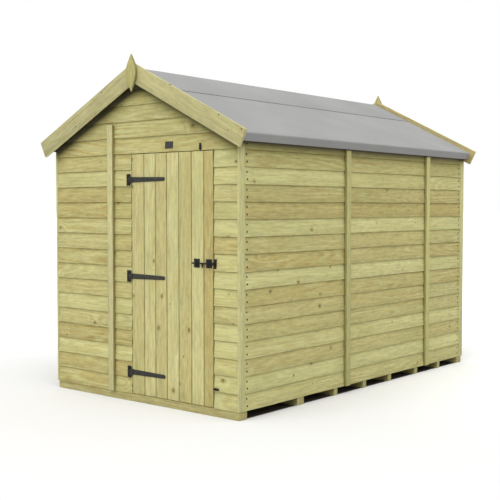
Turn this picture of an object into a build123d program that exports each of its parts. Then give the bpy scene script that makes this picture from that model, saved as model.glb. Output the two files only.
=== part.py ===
"""Overlap-clad apex garden shed on a bearer floor, as separate named subcomponents.

Frame: millimetres, origin at the bottom centre of the bounding box, door gable facing -Y, Z up.
"""

import os
from math import ceil, cos, radians, sin, tan

from build123d import *

os.makedirs("parts", exist_ok=True)

# Overall sizes: walls over the cladding, eaves height over the ground
shed_length = 3000.0
shed_width = 1787.0
wall_top = 1821.0
roof_pitch = 26.6
ground_gap = 55.0

# Wall panels: lapped boards on a frame of flat studs
board_cover = 110.7
board_thick = 8.0
stud_wide = 46.0
stud_deep = 28.0
wide_panel = 1153.0
hinge_panel_wide = 193.0
latch_panel_wide = 198.0
panel_gap = 2.0
door_row_count = 15
gable_row_count = 17

# Trim
corner_strip_wide = 57.0
side_batten_wide = 52.0
gable_batten_wide = 52.0
batten_thick = 20.0
batten_short = 15.0
batten_drop = 3.0

# Floor
bearer_high = 54.0
bearer_inset = 8.0
wide_bearer = 78.0
narrow_bearer = 46.0
wide_bearer_shares = (0.0, 0.218, 1.0)
narrow_bearer_shares = (0.359, 0.485, 0.604, 0.739, 0.863)
deck_thick = 16.0

# Roof
sheet_thick = 11.0
felt_thick = 2.5
felt_cap_reach = 375.0
eaves_batten_deep = 44.0
eaves_batten_thick = 28.0
eaves_clear = 2.0
purlin_deep = 44.0
purlin_thick = 28.0
purlin_shares = (0.1, 0.55)
front_overhang = 40.0
rear_overhang = 4.0
barge_thick = 20.0
barge_rise = 49.0
barge_drop = 70.0
barge_past_eaves = 38.0
finial_thick = 20.0
finial_corner_wide = 121.0
finial_high = 251.0
finial_over_ridge = 110.0
finial_blunt = 2.0
finial_waist_radius = 130.0

# Door leaf
door_wide = 756.0
door_gap = 5.0
door_recess = 2.0
door_thick = 12.0
door_board_wide = 112.0
groove_half = 3.0
groove_deep = 3.0
move_clear = 5.0
ledge_high = 72.0
ledge_thick = 28.0
ledge_inset = 40.0
brace_wide = 72.0

# Hinges
hinge_from_edge = 11.0
hinge_heights = (207.0, 873.0, 1537.0)
hinge_plate_wide = 34.0
hinge_plate_high = 80.0
hinge_plate_thick = 3.0
hinge_seat_gap = 0.3
knuckle_radius = 6.0
hinge_pin_radius = 3.0
knuckle_gap = 0.5
run_clear = 0.08
strap_clear = 1.0
strap_reach = 334.0
strap_root_high = 38.0
strap_tip_radius = 13.0
strap_root_long = 9.0

# Pad bolt
bolt_height = 986.0
bolt_radius = 5.0
bolt_plate_thick = 2.5
bolt_stand = 11.5
bolt_tail = 9.5
bolt_short = 5.0
guide_edge = 11.0
guide_spacing = 106.5
guide_wide = 50.0
guide_high = 58.0
guide_loop_wide = 22.0
loop_wall = 3.0
keeper_from_edge = 6.0
keeper_wide = 22.0
keeper_high = 62.0
keeper_clear = 1.5
tab_from_guide = 32.0
tab_wide = 12.0
tab_thick = 4.0
tab_drop = 26.0

# Turn buttons
button_boss = 8.0
button_tip = 6.0
button_reach = 32.0
button_thick = 5.0
button_stand = 3.0
button_seat_gap = 0.3
button_edge = 14.0
button_top_from_edge = 106.0
button_low_height = 181.0
screw_radius = 2.5
screw_head = 5.5
screw_head_thick = 2.5
screw_head_gap = 0.3

# Places that follow from the sizes above
clad_depth = 2 * board_thick
wall_thick = clad_depth + stud_deep
half_width = shed_width / 2
half_clad = half_width - clad_depth
half_frame = half_width - wall_thick
slope_cos = cos(radians(roof_pitch))
slope_sin = sin(radians(roof_pitch))
slope_tan = tan(radians(roof_pitch))
ridge_under = wall_top + half_width * slope_tan
front_reach = front_overhang + barge_thick + finial_thick
rear_reach = rear_overhang + barge_thick + finial_thick
total_length = front_reach + shed_length + rear_reach
y_front = front_reach - total_length / 2
y_rear = y_front + shed_length
deck_top = bearer_high + deck_thick
floor_inset = door_recess + door_thick + move_clear
clad_low = ground_gap
door_head = clad_low + door_row_count * board_cover
gable_foot = clad_low + gable_row_count * board_cover
door_low = bearer_high + move_clear
door_top = door_head - door_gap
door_right = half_clad - latch_panel_wide - door_gap
door_left = door_right - door_wide
door_face = y_front + door_recess
door_back = door_face + door_thick
front_joint = door_left - door_gap - hinge_panel_wide - panel_gap / 2
eaves_in = (half_width + eaves_clear + eaves_batten_deep * slope_sin) / slope_cos
eaves_out = eaves_in + eaves_batten_thick
barge_end = eaves_out + barge_past_eaves
hinge_x = door_left - hinge_from_edge
hinge_y = y_front - knuckle_radius - hinge_seat_gap
bolt_y = door_face - bolt_stand
guide_starts = (door_right - guide_edge - guide_wide - guide_spacing, door_right - guide_edge - guide_wide)
keeper_x = door_right + keeper_from_edge
side_joints = (y_front + wall_thick + wide_panel, y_front + wall_thick + 2 * wide_panel)
button_top_x = door_right - button_top_from_edge
button_top_z = door_top + button_edge
button_low_x = door_right + button_edge


def block(x0, x1, y0, y1, z0, z1):
    """A box between two corners."""
    corner = (Align.MIN, Align.MIN, Align.MIN)
    return Pos(x0, y0, z0) * Box(x1 - x0, y1 - y0, z1 - z0, align=corner)


def prism_y(points, y0, y1):
    """An outline in X and Z, extruded from y0 to y1."""
    outline = Polyline(*[(x, y0, z) for x, z in points], close=True)
    return extrude(make_face(outline), amount=y1 - y0, dir=(0, 1, 0))


def on_front(x, y, z):
    """A working plane that faces out of the front."""
    return Plane(origin=(x, y, z), x_dir=(1, 0, 0), z_dir=(0, -1, 0))


def rod_x(x0, x1, y, z, radius):
    """A round bar along X."""
    ends = (Align.CENTER, Align.CENTER, Align.MIN)
    return Pos(x0, y, z) * Rot(0, 90, 0) * Cylinder(radius, x1 - x0, align=ends)


def rod_y(x, y0, y1, z, radius):
    """A round bar along Y."""
    ends = (Align.CENTER, Align.CENTER, Align.MIN)
    return Pos(x, y1, z) * Rot(90, 0, 0) * Cylinder(radius, y1 - y0, align=ends)


def rod_z(x, y, z0, z1, radius):
    """A round bar along Z."""
    ends = (Align.CENTER, Align.CENTER, Align.MIN)
    return Pos(x, y, z0) * Cylinder(radius, z1 - z0, align=ends)


def both_sides(shape):
    """A piece and its mirror image across the shed."""
    return [shape, mirror(shape, about=Plane.YZ)]


def save(name, *shapes):
    """Writes one node, of one or several solids."""
    solids = [solid for shape in shapes for solid in shape.solids()]
    node = solids[0] if len(solids) == 1 else Compound(solids)
    export_step(node, "parts/" + name + ".step")


def on_slope(along, above):
    """A point of the right-hand slope: distance from the ridge, height over the sheet's underside."""
    return (along * slope_cos + above * slope_sin, ridge_under - along * slope_sin + above * slope_cos)


def ridge_point(above):
    """The point of a slope's layer on the ridge's plumb line."""
    return (0, ridge_under + above / slope_cos)


def slope_layer(above0, above1, end):
    """A layer of the right-hand slope, cut plumb at the ridge and square at its end."""
    return [ridge_point(above0), on_slope(end, above0), on_slope(end, above1), ridge_point(above1)]


def gable_outline(half, drop):
    """What lies under the roof, lowered by a drop square to the slope."""
    down = drop / slope_cos
    shoulder = ridge_under - half * slope_tan - down
    return [(-half, 0), (half, 0), (half, shoulder), (0, ridge_under - down), (-half, shoulder)]


def lapped_slab(run, z_low, z_high):
    """Overlapping boards as one section: facing +X, inner face on X = 0, running along +Y."""
    section = [(0, z_low)]
    for row in range(ceil((z_high - z_low) / board_cover - panel_gap / board_cover)):
        foot = z_low + row * board_cover
        head = min(foot + board_cover, z_high)
        section.append((clad_depth, foot))
        section.append((clad_depth - board_thick * (head - foot) / board_cover, head))
    section.append((0, z_high))
    return prism_y(section, 0, run)


def front_cladding(x0, x1, z_low, z_high):
    """Front boards between two lines, trimmed to the slope of the roof."""
    slab = Pos(x0, y_front + clad_depth, 0) * Rot(0, 0, -90) * lapped_slab(x1 - x0, z_low, z_high)
    return slab & prism_y(gable_outline(half_clad, 0), y_front, y_front + clad_depth)


def rear_cladding(x0, x1, z_low, z_high):
    """Rear boards between two lines, trimmed to the slope of the roof."""
    slab = Pos(x1, y_rear - clad_depth, 0) * Rot(0, 0, 90) * lapped_slab(x1 - x0, z_low, z_high)
    return slab & prism_y(gable_outline(half_clad, 0), y_rear - clad_depth, y_rear)


def side_panel_ends():
    """Where the boards of the side panels start and end, front to rear."""
    starts = [y_front + corner_strip_wide] + [joint + panel_gap / 2 for joint in side_joints]
    ends = [joint - panel_gap / 2 for joint in side_joints] + [y_rear - corner_strip_wide]
    return list(zip(starts, ends))


def side_frame_ends():
    """Where the frames of the side panels start and end, front to rear."""
    starts = [y_front + wall_thick] + [joint + panel_gap / 2 for joint in side_joints]
    ends = [joint - panel_gap / 2 for joint in side_joints] + [y_rear - wall_thick]
    return list(zip(starts, ends))


def make_floor():
    half = half_width - bearer_inset
    y0 = y_front + bearer_inset
    y1 = y_rear - bearer_inset
    bearers = []
    for wide, shares in ((wide_bearer, wide_bearer_shares), (narrow_bearer, narrow_bearer_shares)):
        for share in shares:
            middle = y_front + share * shed_length
            start = min(max(middle - wide / 2, y0), y1 - wide)
            bearers.append(block(-half, half, start, start + wide, 0, bearer_high))
    save("floor_bearers", *bearers)
    half = half_width - floor_inset
    y0 = y_front + floor_inset
    y1 = y_rear - floor_inset
    save("floor_deck", block(-half, half, y0, y1, bearer_high, deck_top))


def make_side_walls():
    names = ("front", "middle", "rear")
    for name, (y0, y1) in zip(names, side_panel_ends()):
        panel = Pos(half_clad, y0, 0) * lapped_slab(y1 - y0, clad_low, wall_top)
        right, left = both_sides(panel)
        save("right_cladding_" + name, right)
        save("left_cladding_" + name, left)
    studs = []
    rails = []
    foot = deck_top + stud_wide
    head = wall_top - stud_wide
    for y0, y1 in side_frame_ends():
        places = [y0, y1 - stud_wide]
        if y1 - y0 > wide_panel / 2 + stud_wide + stud_wide:
            places.insert(1, (y0 + y1 - stud_wide) / 2)
        for start in places:
            studs += both_sides(block(half_frame, half_clad, start, start + stud_wide, foot, head))
        rails += both_sides(block(half_frame, half_clad, y0, y1, deck_top, foot))
        rails += both_sides(block(half_frame, half_clad, y0, y1, head, wall_top))
    save("side_wall_studs", *studs)
    save("side_wall_rails", *rails)


def drill_button_holes(cladding, x, z):
    """Clears a turn button's screw through the boards."""
    return cladding - rod_y(x, y_front - clad_depth, y_front + 2 * clad_depth, z, screw_radius + run_clear)


def make_front_wall():
    left_end = front_joint - panel_gap / 2
    right_start = front_joint + panel_gap / 2
    hinge_side = door_left - door_gap
    latch_side = door_right + door_gap
    latch = front_cladding(latch_side, half_clad, clad_low, door_head)
    header = front_cladding(right_start, half_clad, door_head, gable_foot)
    save("front_cladding_left", front_cladding(-half_clad, left_end, clad_low, gable_foot))
    save("front_cladding_hinge_side", front_cladding(right_start, hinge_side, clad_low, door_head))
    save("front_cladding_latch_side", drill_button_holes(latch, button_low_x, button_low_height))
    save("front_cladding_over_door", drill_button_holes(header, button_top_x, button_top_z))
    save("front_gable_top", front_cladding(-half_clad, half_clad, gable_foot, ridge_under))
    y0 = y_front + clad_depth
    y1 = y_front + wall_thick
    foot = deck_top + stud_wide
    room = prism_y(gable_outline(half_clad, stud_wide), y0, y1)
    starts = (-half_clad, left_end - stud_wide, right_start, hinge_side - stud_wide, latch_side)
    posts = [block(x, x + stud_wide, y0, y1, foot, ridge_under) & room for x in starts]
    posts.append(block(half_clad - stud_wide, half_clad, y0, y1, foot, ridge_under) & room)
    save("front_wall_studs", *posts)
    spans = ((-half_clad, left_end), (right_start, hinge_side), (latch_side, half_clad))
    rails = [block(x0, x1, y0, y1, deck_top, foot) for x0, x1 in spans]
    rails.append(block(hinge_side, latch_side, y0, y1, door_head, door_head + stud_wide))
    save("front_wall_rails", *rails)


def make_rear_wall():
    left_end = front_joint - panel_gap / 2
    right_start = front_joint + panel_gap / 2
    save("rear_cladding_left", rear_cladding(-half_clad, left_end, clad_low, gable_foot))
    save("rear_cladding_right", rear_cladding(right_start, half_clad, clad_low, gable_foot))
    save("rear_gable_top", rear_cladding(-half_clad, half_clad, gable_foot, ridge_under))
    y0 = y_rear - wall_thick
    y1 = y_rear - clad_depth
    foot = deck_top + stud_wide
    room = prism_y(gable_outline(half_clad, stud_wide), y0, y1)
    middle = (right_start + half_clad - stud_wide) / 2
    starts = (-half_clad, left_end - stud_wide, right_start, middle, half_clad - stud_wide)
    posts = [block(x, x + stud_wide, y0, y1, foot, ridge_under) & room for x in starts]
    save("rear_wall_studs", *posts)
    spans = ((-half_clad, left_end), (right_start, half_clad))
    save("rear_wall_rails", *[block(x0, x1, y0, y1, deck_top, foot) for x0, x1 in spans])


def make_gable_rafters():
    tip = panel_gap / 2
    top0 = ridge_under - tip * slope_tan
    top1 = ridge_under - half_clad * slope_tan
    down = stud_wide / slope_cos
    outline = [(tip, top0), (half_clad, top1), (half_clad, top1 - down), (tip, top0 - down)]
    front = prism_y(outline, y_front + clad_depth, y_front + wall_thick)
    rear = prism_y(outline, y_rear - wall_thick, y_rear - clad_depth)
    save("gable_rafters", *both_sides(front), *both_sides(rear))


def make_trim():
    front = block(half_clad, half_width, y_front, y_front + corner_strip_wide, clad_low, wall_top)
    rear = block(half_clad, half_width, y_rear - corner_strip_wide, y_rear, clad_low, wall_top)
    save("corner_strips", *both_sides(front), *both_sides(rear))
    top = on_slope(eaves_out, -eaves_batten_deep)[1] - batten_drop
    battens = []
    for joint in side_joints:
        y0 = joint - side_batten_wide / 2
        strip = block(half_width, half_width + batten_thick, y0, y0 + side_batten_wide, clad_low, top)
        battens += both_sides(strip)
    save("side_cover_battens", *battens)
    x0 = front_joint - gable_batten_wide / 2
    x1 = x0 + gable_batten_wide
    top = gable_foot - batten_short
    front = block(x0, x1, y_front - batten_thick, y_front, clad_low, top)
    rear = block(x0, x1, y_rear, y_rear + batten_thick, clad_low, top)
    save("gable_cover_battens", front, rear)


def make_roof():
    y0 = y_front - front_overhang
    y1 = y_rear + rear_overhang
    right, left = both_sides(prism_y(slope_layer(0, sheet_thick, eaves_out), y0, y1))
    save("right_roof_sheet", right)
    save("left_roof_sheet", left)
    felt_top = sheet_thick + felt_thick
    edge = eaves_out + felt_thick
    fold = [on_slope(edge, felt_top), on_slope(edge, -eaves_batten_deep)]
    fold += [on_slope(eaves_out, -eaves_batten_deep), on_slope(eaves_out, sheet_thick)]
    strip = prism_y([ridge_point(felt_top)] + fold + [ridge_point(sheet_thick)], y0, y1)
    right, left = both_sides(strip)
    save("right_roof_felt", right)
    save("left_roof_felt", left)
    cap = slope_layer(felt_top, felt_top + felt_thick, felt_cap_reach)
    outline = cap + [(-x, z) for x, z in (cap[2], cap[1])]
    save("ridge_felt", prism_y(outline, y0, y1))
    batten = [on_slope(eaves_in, 0), on_slope(eaves_out, 0)]
    batten += [on_slope(eaves_out, -eaves_batten_deep), on_slope(eaves_in, -eaves_batten_deep)]
    save("eaves_battens", *both_sides(prism_y(batten, y0, y1)))


def make_purlins():
    purlins = []
    for share in purlin_shares:
        u0 = share * eaves_out
        u1 = u0 + purlin_thick
        outline = [on_slope(u0, 0), on_slope(u1, 0), on_slope(u1, -purlin_deep), on_slope(u0, -purlin_deep)]
        purlins += both_sides(prism_y(outline, y_front + wall_thick, y_rear - wall_thick))
    save("roof_purlins", *purlins)


def make_bargeboards():
    outline = slope_layer(-barge_drop, barge_rise, barge_end)
    front_y = y_front - front_overhang
    rear_y = y_rear + rear_overhang
    right_front, left_front = both_sides(prism_y(outline, front_y - barge_thick, front_y))
    right_rear, left_rear = both_sides(prism_y(outline, rear_y, rear_y + barge_thick))
    save("right_bargeboards", right_front, right_rear)
    save("left_bargeboards", left_front, left_rear)


def make_finials():
    top = ridge_under + finial_over_ridge
    middle = top - finial_high / 2
    low = top - finial_high
    right = [(finial_blunt, top), (finial_corner_wide / 2, middle), (finial_blunt, low)]
    outline = right + [(-x, z) for x, z in reversed(right)]
    front_y = y_front - front_overhang - barge_thick
    rear_y = y_rear + rear_overhang + barge_thick
    pair = []
    for start in (front_y - finial_thick, rear_y):
        spear = prism_y(outline, start, start + finial_thick)
        across = spear.edges().filter_by(Axis.Y).sort_by(Axis.X)
        pair.append(fillet([across[0], across[-1]], finial_waist_radius))
    save("gable_finials", *pair)


def make_door_boards():
    outline = [(door_left, door_face)]
    seam = door_left + door_board_wide
    while seam < door_right - groove_half:
        outline += [(seam - groove_half, door_face), (seam, door_face + groove_deep)]
        outline.append((seam + groove_half, door_face))
        seam += door_board_wide
    outline += [(door_right, door_face), (door_right, door_back), (door_left, door_back)]
    leaf = make_face(Polyline(*[(x, y, door_low) for x, y in outline], close=True))
    save("door_boards", extrude(leaf, amount=door_top - door_low, dir=(0, 0, 1)))


def make_door_frame():
    x0 = door_left + ledge_inset
    x1 = door_right - ledge_inset
    y1 = door_back + ledge_thick
    ledges = []
    braces = []
    for height in hinge_heights:
        ledges.append(block(x0, x1, door_back, y1, height - ledge_high / 2, height + ledge_high / 2))
    for low, high in zip(hinge_heights, hinge_heights[1:]):
        z0 = low + ledge_high / 2
        z1 = high - ledge_high / 2
        outline = [(x0, z0), (x0 + brace_wide, z0), (x1, z1), (x1 - brace_wide, z1)]
        braces.append(prism_y(outline, door_back, y1))
    save("door_ledges", *ledges)
    save("door_braces", *braces)


def hinge_strap(height):
    """Tapered strap with a round tip, its root rolled into the middle knuckle."""
    half = strap_root_high / 2
    straight = strap_reach - strap_tip_radius
    upper = (straight, strap_tip_radius)
    lower = (straight, -strap_tip_radius)
    edge = [Line((0, half), upper), ThreePointArc(upper, (strap_reach, 0), lower)]
    edge += [Line(lower, (0, -half)), Line((0, -half), (0, half))]
    blade = extrude(on_front(hinge_x, door_face, height) * make_face(edge), amount=hinge_plate_thick)
    root_end = door_left + strap_root_long
    root = block(hinge_x, root_end, hinge_y, door_face, height - half, height + half)
    behind = y_front - strap_clear
    recess = block(hinge_x, door_left, behind, door_face, height - half, height + half)
    knuckle = rod_z(hinge_x, hinge_y, height - half, height + half, knuckle_radius)
    bore = rod_z(hinge_x, hinge_y, height - half, height + half, hinge_pin_radius + run_clear)
    return blade + root - recess + knuckle - bore


def hinge_plate(height):
    """Frame plate of a hinge, with the two outer knuckles and the pin."""
    half = hinge_plate_high / 2
    inner = strap_root_high / 2 + knuckle_gap
    edge = hinge_x - knuckle_radius - knuckle_gap
    y0 = y_front - hinge_plate_thick
    plate = block(hinge_x - hinge_plate_wide, edge, y0, y_front, height - half, height + half)
    pin = rod_z(hinge_x, hinge_y, height - half, height + half, hinge_pin_radius)
    for z0, z1 in ((height - half, height - inner), (height + inner, height + half)):
        lug = block(edge, hinge_x, y0, y_front - hinge_seat_gap, z0, z1)
        plate = plate + lug + rod_z(hinge_x, hinge_y, z0, z1, knuckle_radius)
    return plate + pin


def make_hinges():
    save("hinge_straps", *[hinge_strap(height) for height in hinge_heights])
    save("hinge_plates", *[hinge_plate(height) for height in hinge_heights])


def guide_loop(x0, x1, seat):
    """A round bridge over the bolt, standing on its plate."""
    reach = bolt_radius + run_clear + loop_wall
    z = bolt_height
    bridge = block(x0, x1, bolt_y, seat, z - reach, z + reach) + rod_x(x0, x1, bolt_y, z, reach)
    return bridge - rod_x(x0, x1, bolt_y, z, bolt_radius + run_clear)


def keeper_loop(x0, x1, seat):
    """A square staple that the bolt's end shoots into."""
    eye = bolt_radius + keeper_clear
    wall = eye + loop_wall
    z = bolt_height
    staple = block(x0, x1, bolt_y - wall, seat, z - wall, z + wall)
    staple = fillet(staple.edges().filter_by(Axis.X).group_by(Axis.Y)[0], loop_wall)
    return staple - block(x0, x1, bolt_y - eye, seat, z - eye, z + eye)


def make_pad_bolt():
    guides = []
    for x0 in guide_starts:
        x1 = x0 + guide_wide
        half = guide_high / 2
        seat = door_face - bolt_plate_thick
        plate = block(x0, x1, seat, door_face, bolt_height - half, bolt_height + half)
        middle = (x0 + x1) / 2
        loop = guide_loop(middle - guide_loop_wide / 2, middle + guide_loop_wide / 2, seat)
        guides.append(plate + loop)
    save("bolt_guides", *guides)
    x0 = keeper_x
    x1 = x0 + keeper_wide
    half = keeper_high / 2
    seat = y_front - bolt_plate_thick
    plate = block(x0, x1, seat, y_front + board_thick, bolt_height - half, bolt_height + half)
    plate = plate - front_cladding(x0 - keeper_wide, x1 + keeper_wide, clad_low, door_head)
    save("bolt_keeper", plate + keeper_loop(x0, x1, seat))
    rod = rod_x(guide_starts[0] - bolt_tail, x0 - bolt_short, bolt_y, bolt_height, bolt_radius)
    middle = guide_starts[0] + guide_wide + tab_from_guide
    y0 = bolt_y - tab_thick / 2
    low = bolt_height - tab_drop
    tab = block(middle - tab_wide / 2, middle + tab_wide / 2, y0, y0 + tab_thick, low, bolt_height)
    save("pad_bolt", rod + tab)


def turn_button(x, z, turn):
    """One-armed button with a collar under its boss, bored for its screw."""
    front = on_front(x, y_front - button_stand, z)
    arm = Pos(0, button_reach) * Circle(button_tip)
    sides = [(-button_boss, 0), (button_boss, 0), (button_tip, button_reach), (-button_tip, button_reach)]
    outline = Circle(button_boss) + arm + make_face(Polyline(*sides, close=True))
    arm = extrude(front * Rot(0, 0, turn) * outline, amount=button_thick)
    collar = rod_y(x, y_front - button_stand, y_front - button_seat_gap, z, button_boss)
    reach = y_front - button_stand - button_thick
    return arm + collar - rod_y(x, reach, y_front, z, screw_radius + run_clear)


def button_screw(x, z):
    """Round-head screw that a turn button swings on."""
    head_back = y_front - button_stand - button_thick - screw_head_gap
    head = rod_y(x, head_back - screw_head_thick, head_back, z, screw_head)
    return head + rod_y(x, head_back, y_front + clad_depth, z, screw_radius)


def make_turn_buttons():
    save("top_turn_button", turn_button(button_top_x, button_top_z, 0))
    save("low_turn_button", turn_button(button_low_x, button_low_height, -90))
    top_screw = button_screw(button_top_x, button_top_z)
    save("button_screws", top_screw, button_screw(button_low_x, button_low_height))


make_floor()
make_side_walls()
make_front_wall()
make_rear_wall()
make_gable_rafters()
make_trim()
make_roof()
make_purlins()
make_bargeboards()
make_finials()
make_door_boards()
make_door_frame()
make_hinges()
make_pad_bolt()
make_turn_buttons()
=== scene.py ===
import random
from math import atan, ceil, cos, pi, radians, sin

import bmesh
import bpy
from mathutils import Matrix, Vector


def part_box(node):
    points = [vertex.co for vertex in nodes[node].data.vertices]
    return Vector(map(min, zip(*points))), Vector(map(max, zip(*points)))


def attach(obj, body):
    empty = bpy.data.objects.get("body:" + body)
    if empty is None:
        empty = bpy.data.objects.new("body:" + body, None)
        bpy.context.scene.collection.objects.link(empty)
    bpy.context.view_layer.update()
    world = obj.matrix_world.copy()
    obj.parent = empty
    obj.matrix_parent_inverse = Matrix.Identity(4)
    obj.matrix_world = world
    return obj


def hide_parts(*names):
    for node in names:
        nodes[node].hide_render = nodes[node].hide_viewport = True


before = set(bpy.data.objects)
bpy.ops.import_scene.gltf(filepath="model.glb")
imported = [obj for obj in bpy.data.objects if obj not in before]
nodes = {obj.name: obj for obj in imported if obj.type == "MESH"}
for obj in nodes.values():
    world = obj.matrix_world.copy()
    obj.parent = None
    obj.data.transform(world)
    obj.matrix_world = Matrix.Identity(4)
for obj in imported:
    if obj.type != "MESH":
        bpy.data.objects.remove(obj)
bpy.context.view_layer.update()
chance = random.Random(7)

# Sizes in metres, as in the part's source
MM = 0.001
PITCH = radians(26.6)
BOARD_COVER = 110.7 * MM
BOARD_WIDE = 122.0 * MM
BOARD_THICK = 7.0 * MM
LAP_STEP = 8.0 * MM
CLAD_DEPTH = 16.0 * MM
LEAN = atan(LAP_STEP / BOARD_COVER)
CLAD_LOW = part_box("right_cladding_front")[0][2]
Y_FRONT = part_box("front_cladding_left")[0][1]
Y_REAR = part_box("rear_cladding_left")[1][1]
HALF_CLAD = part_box("front_cladding_left")[0][0] * -1
HALF_WIDTH = HALF_CLAD + CLAD_DEPTH
SHEET_THICK = 11.0 * MM
FELT_THICK = 2.5 * MM
FELT_LIFT = 5.0 * MM
EAVES_DEEP = 44.0 * MM
HINGE_HEIGHTS = (207 * MM, 873 * MM, 1537 * MM)
RIDGE_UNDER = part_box("right_roof_sheet")[1][2] - SHEET_THICK / cos(PITCH)


# Working by hand: selection, edit mode and modifiers

TOUCHING = 0.01 * MM
EASE_STEPS = 2
EASED_ANGLE = 32
SMOOTH_ANGLE = 34
FLAT_ANGLE = 0.5


def lay_down():
    """Leaves edit mode with nothing selected."""
    if bpy.context.object and bpy.context.object.mode != "OBJECT":
        bpy.ops.object.mode_set(mode="OBJECT")
    bpy.ops.object.select_all(action="DESELECT")


def pick(piece):
    """Selects one piece and nothing else."""
    lay_down()
    piece.select_set(True)
    bpy.context.view_layer.objects.active = piece


def edit(piece, kind="FACE"):
    """Opens a piece in edit mode with nothing of it selected."""
    pick(piece)
    bpy.ops.object.mode_set(mode="EDIT")
    bpy.ops.mesh.select_mode(type=kind)
    bpy.ops.mesh.select_all(action="DESELECT")
    return bmesh.from_edit_mesh(piece.data)


def edit_whole(piece):
    """Opens a piece in edit mode with all of it selected."""
    edit(piece)
    bpy.ops.mesh.select_all(action="SELECT")


def choose(piece, mesh, items, test):
    """Selects the faces, edges or points that pass a test."""
    for item in items:
        if test(item):
            item.select_set(True)
    mesh.select_flush_mode()
    bmesh.update_edit_mesh(piece.data)


def finish_with(piece, kind, **settings):
    """Adds a modifier and applies it."""
    pick(piece)
    tool = piece.modifiers.new(kind.lower(), kind)
    for name, value in settings.items():
        setattr(tool, name, value)
    bpy.ops.object.modifier_apply(modifier=tool.name)


def ease_edges(piece, width, angle=EASED_ANGLE):
    """Rounds every sharp edge over."""
    sharp = {"limit_method": "ANGLE", "angle_limit": radians(angle)}
    finish_with(piece, "BEVEL", width=width, segments=EASE_STEPS, **sharp)


def smooth(piece, angle=SMOOTH_ANGLE):
    pick(piece)
    bpy.ops.object.shade_smooth_by_angle(angle=radians(angle))


def apply_place():
    """Puts the picked object's place, turn and size into its mesh."""
    bpy.ops.object.transform_apply(location=True, rotation=True, scale=True)


def block(name, low, high):
    """Squared stuff between two corners."""
    low, high = Vector(low), Vector(high)
    lay_down()
    bpy.ops.mesh.primitive_cube_add(size=1, location=(low + high) / 2, scale=high - low)
    piece = bpy.context.object
    piece.name = name
    piece.data.name = name
    apply_place()
    return piece


def cut_across(piece, axis, cuts):
    """Divides a piece into lengths along an axis, so that it can bend."""
    mesh = edit(piece, "EDGE")

    def runs_along(edge):
        way = (edge.verts[1].co - edge.verts[0].co).normalized()
        return abs(way[axis]) > 0.99

    choose(piece, mesh, mesh.edges, runs_along)
    bpy.ops.mesh.subdivide(number_cuts=cuts)
    lay_down()


def warp(piece, name, amount, size):
    """Moves a piece's points up or down a little, as timber moves when it dries."""
    cloud = bpy.data.textures.new(name, "CLOUDS")
    cloud.noise_scale = size
    cloud.noise_depth = 1
    place = {"direction": "Z", "texture_coords": "LOCAL"}
    finish_with(piece, "DISPLACE", texture=cloud, strength=amount, mid_level=0.5, **place)
    bpy.data.textures.remove(cloud)


def saw(piece, point, normal):
    """Saws off what lies beyond a plane and closes the cut."""
    edit_whole(piece)
    bpy.ops.mesh.bisect(plane_co=point, plane_no=normal, use_fill=True, clear_outer=True)
    lay_down()


def copy_of(piece, name):
    twin = piece.copy()
    twin.data = piece.data.copy()
    twin.name = name
    twin.data.name = name
    bpy.context.scene.collection.objects.link(twin)
    return twin


def join(parts, name):
    """Makes several parts one piece."""
    lay_down()
    for part in parts:
        part.select_set(True)
    bpy.context.view_layer.objects.active = parts[0]
    bpy.ops.object.join()
    whole = bpy.context.view_layer.objects.active
    whole.name = name
    whole.data.name = name
    return whole


def stamp(piece, tone, warmth, seed, heights=None):
    """Gives every point of a board its own tone, warmth, place in the tree and height on the board."""
    values = piece.data.attributes.new("board", "FLOAT_COLOR", "POINT")
    heights = heights or [0.0] * len(piece.data.vertices)
    colours = [value for height in heights for value in (tone, warmth, seed, height)]
    values.data.foreach_set("color", colours)


def lighten(piece, by, test):
    """Makes the boards of a piece that pass a test paler."""
    values = piece.data.attributes["board"].data
    for point, value in zip(piece.data.vertices, values):
        if test(point):
            tone, *others = value.color
            value.color = (tone + by, *others)


def settle(piece, body, material, slot, *replaced):
    """Gives a finished piece its material, its body and the solids that it stands for; its slot is not used."""
    piece.data.materials.clear()
    piece.data.materials.append(material)
    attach(piece, body)
    if replaced:
        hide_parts(*replaced)
    return piece


def recolour(piece, material, test):
    """Gives the faces that pass a test a finish of their own."""
    piece.data.materials.append(material)
    mesh = edit(piece)
    choose(piece, mesh, mesh.faces, test)
    piece.active_material_index = len(piece.data.materials) - 1
    bpy.ops.object.material_slot_assign()
    lay_down()


def darken_edges(piece, material, axis, limit=0.7):
    """Gives the faces that face along one axis a darker finish of their own; on timber it is painted shade on
    the sides of strips and in seams.
    """
    recolour(piece, material, lambda face: abs(face.normal[axis]) > limit)


def softened(node, width, angle=EASED_ANGLE):
    """A copy of a solid with its edges eased."""
    piece = copy_of(nodes[node], node + "_eased")
    piece.parent = None
    piece.matrix_world = Matrix.Identity(4)
    edit_whole(piece)
    bpy.ops.mesh.remove_doubles(threshold=TOUCHING)
    bpy.ops.mesh.dissolve_limited(angle_limit=radians(FLAT_ANGLE))
    lay_down()
    ease_edges(piece, width, angle)
    edit_whole(piece)
    bpy.ops.mesh.dissolve_degenerate(threshold=TOUCHING)
    lay_down()
    smooth(piece)
    return piece


# Finishes

def add_node(tree, kind, inputs=None, **settings):
    """A shader node with its settings, and its inputs linked or set."""
    made = tree.nodes.new(kind)
    for name, value in settings.items():
        setattr(made, name, value)
    for name, value in (inputs or {}).items():
        if isinstance(value, bpy.types.NodeSocket):
            tree.links.new(value, made.inputs[name])
        else:
            made.inputs[name].default_value = value
    return made


def maths(tree, operation, a, b=0.0, clamp=False):
    return add_node(tree, "ShaderNodeMath", {0: a, 1: b}, operation=operation, use_clamp=clamp).outputs[0]


def plus(tree, a, b, clamp=False):
    return maths(tree, "ADD", a, b, clamp)


def times(tree, a, b, clamp=False):
    return maths(tree, "MULTIPLY", a, b, clamp)


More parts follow.
